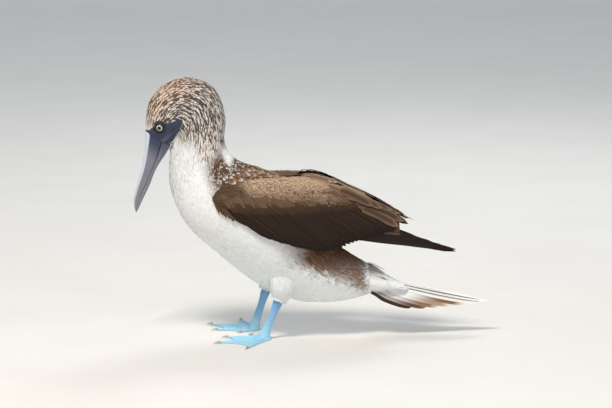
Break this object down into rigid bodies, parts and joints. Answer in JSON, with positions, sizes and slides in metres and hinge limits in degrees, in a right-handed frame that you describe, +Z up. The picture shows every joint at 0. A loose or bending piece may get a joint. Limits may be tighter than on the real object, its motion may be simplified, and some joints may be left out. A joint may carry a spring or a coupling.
{
  "type": "blue footed booby",
  "caption": "Life-size still model of a standing seabird, its head bowed and its long bill pointing down, with folded wings, a wedge-shaped tail and webbed feet.",
  "frame": {"origin": "centre of the bounding box in plan, at the level of the soles", "axes": "+X towards the tail, so that the bird faces -X; +Y towards its right; +Z up"},
  "size_m": [0.484, 0.2069, 0.3552],
  "materials": {
    "plumage_white": "soft white body feathers",
    "plumage_head": "cream head feathers streaked with brown",
    "plumage_wing": "dark brown wing feathers with paler edges",
    "plumage_tail": "white tail feathers, browner to the sides",
    "bill_horn": "satin grey-blue horn",
    "eye_gloss": "wet, with a pale yellow iris and a large black pupil",
    "foot_blue": "bright blue scaled skin",
    "claw_horn": "pale grey horn"
  },
  "bodies": {
    "root": {"torso": "plumage_white", "neck": "plumage_head", "head": "plumage_head", "eye_left": "eye_gloss", "eye_right": "eye_gloss", "bill_upper": "bill_horn", "bill_lower": "bill_horn", "wing_left": "plumage_wing", "wing_right": "plumage_wing", "tail": "plumage_tail", "thigh_left": "plumage_white", "thigh_right": "plumage_white", "shank_left": "foot_blue", "shank_right": "foot_blue", "foot_left": "foot_blue", "foot_right": "foot_blue", "claw_left_1": "claw_horn", "claw_left_2": "claw_horn", "claw_left_3": "claw_horn", "claw_left_4": "claw_horn", "claw_right_1": "claw_horn", "claw_right_2": "claw_horn", "claw_right_3": "claw_horn", "claw_right_4": "claw_horn"}
  },
  "joints": []
}
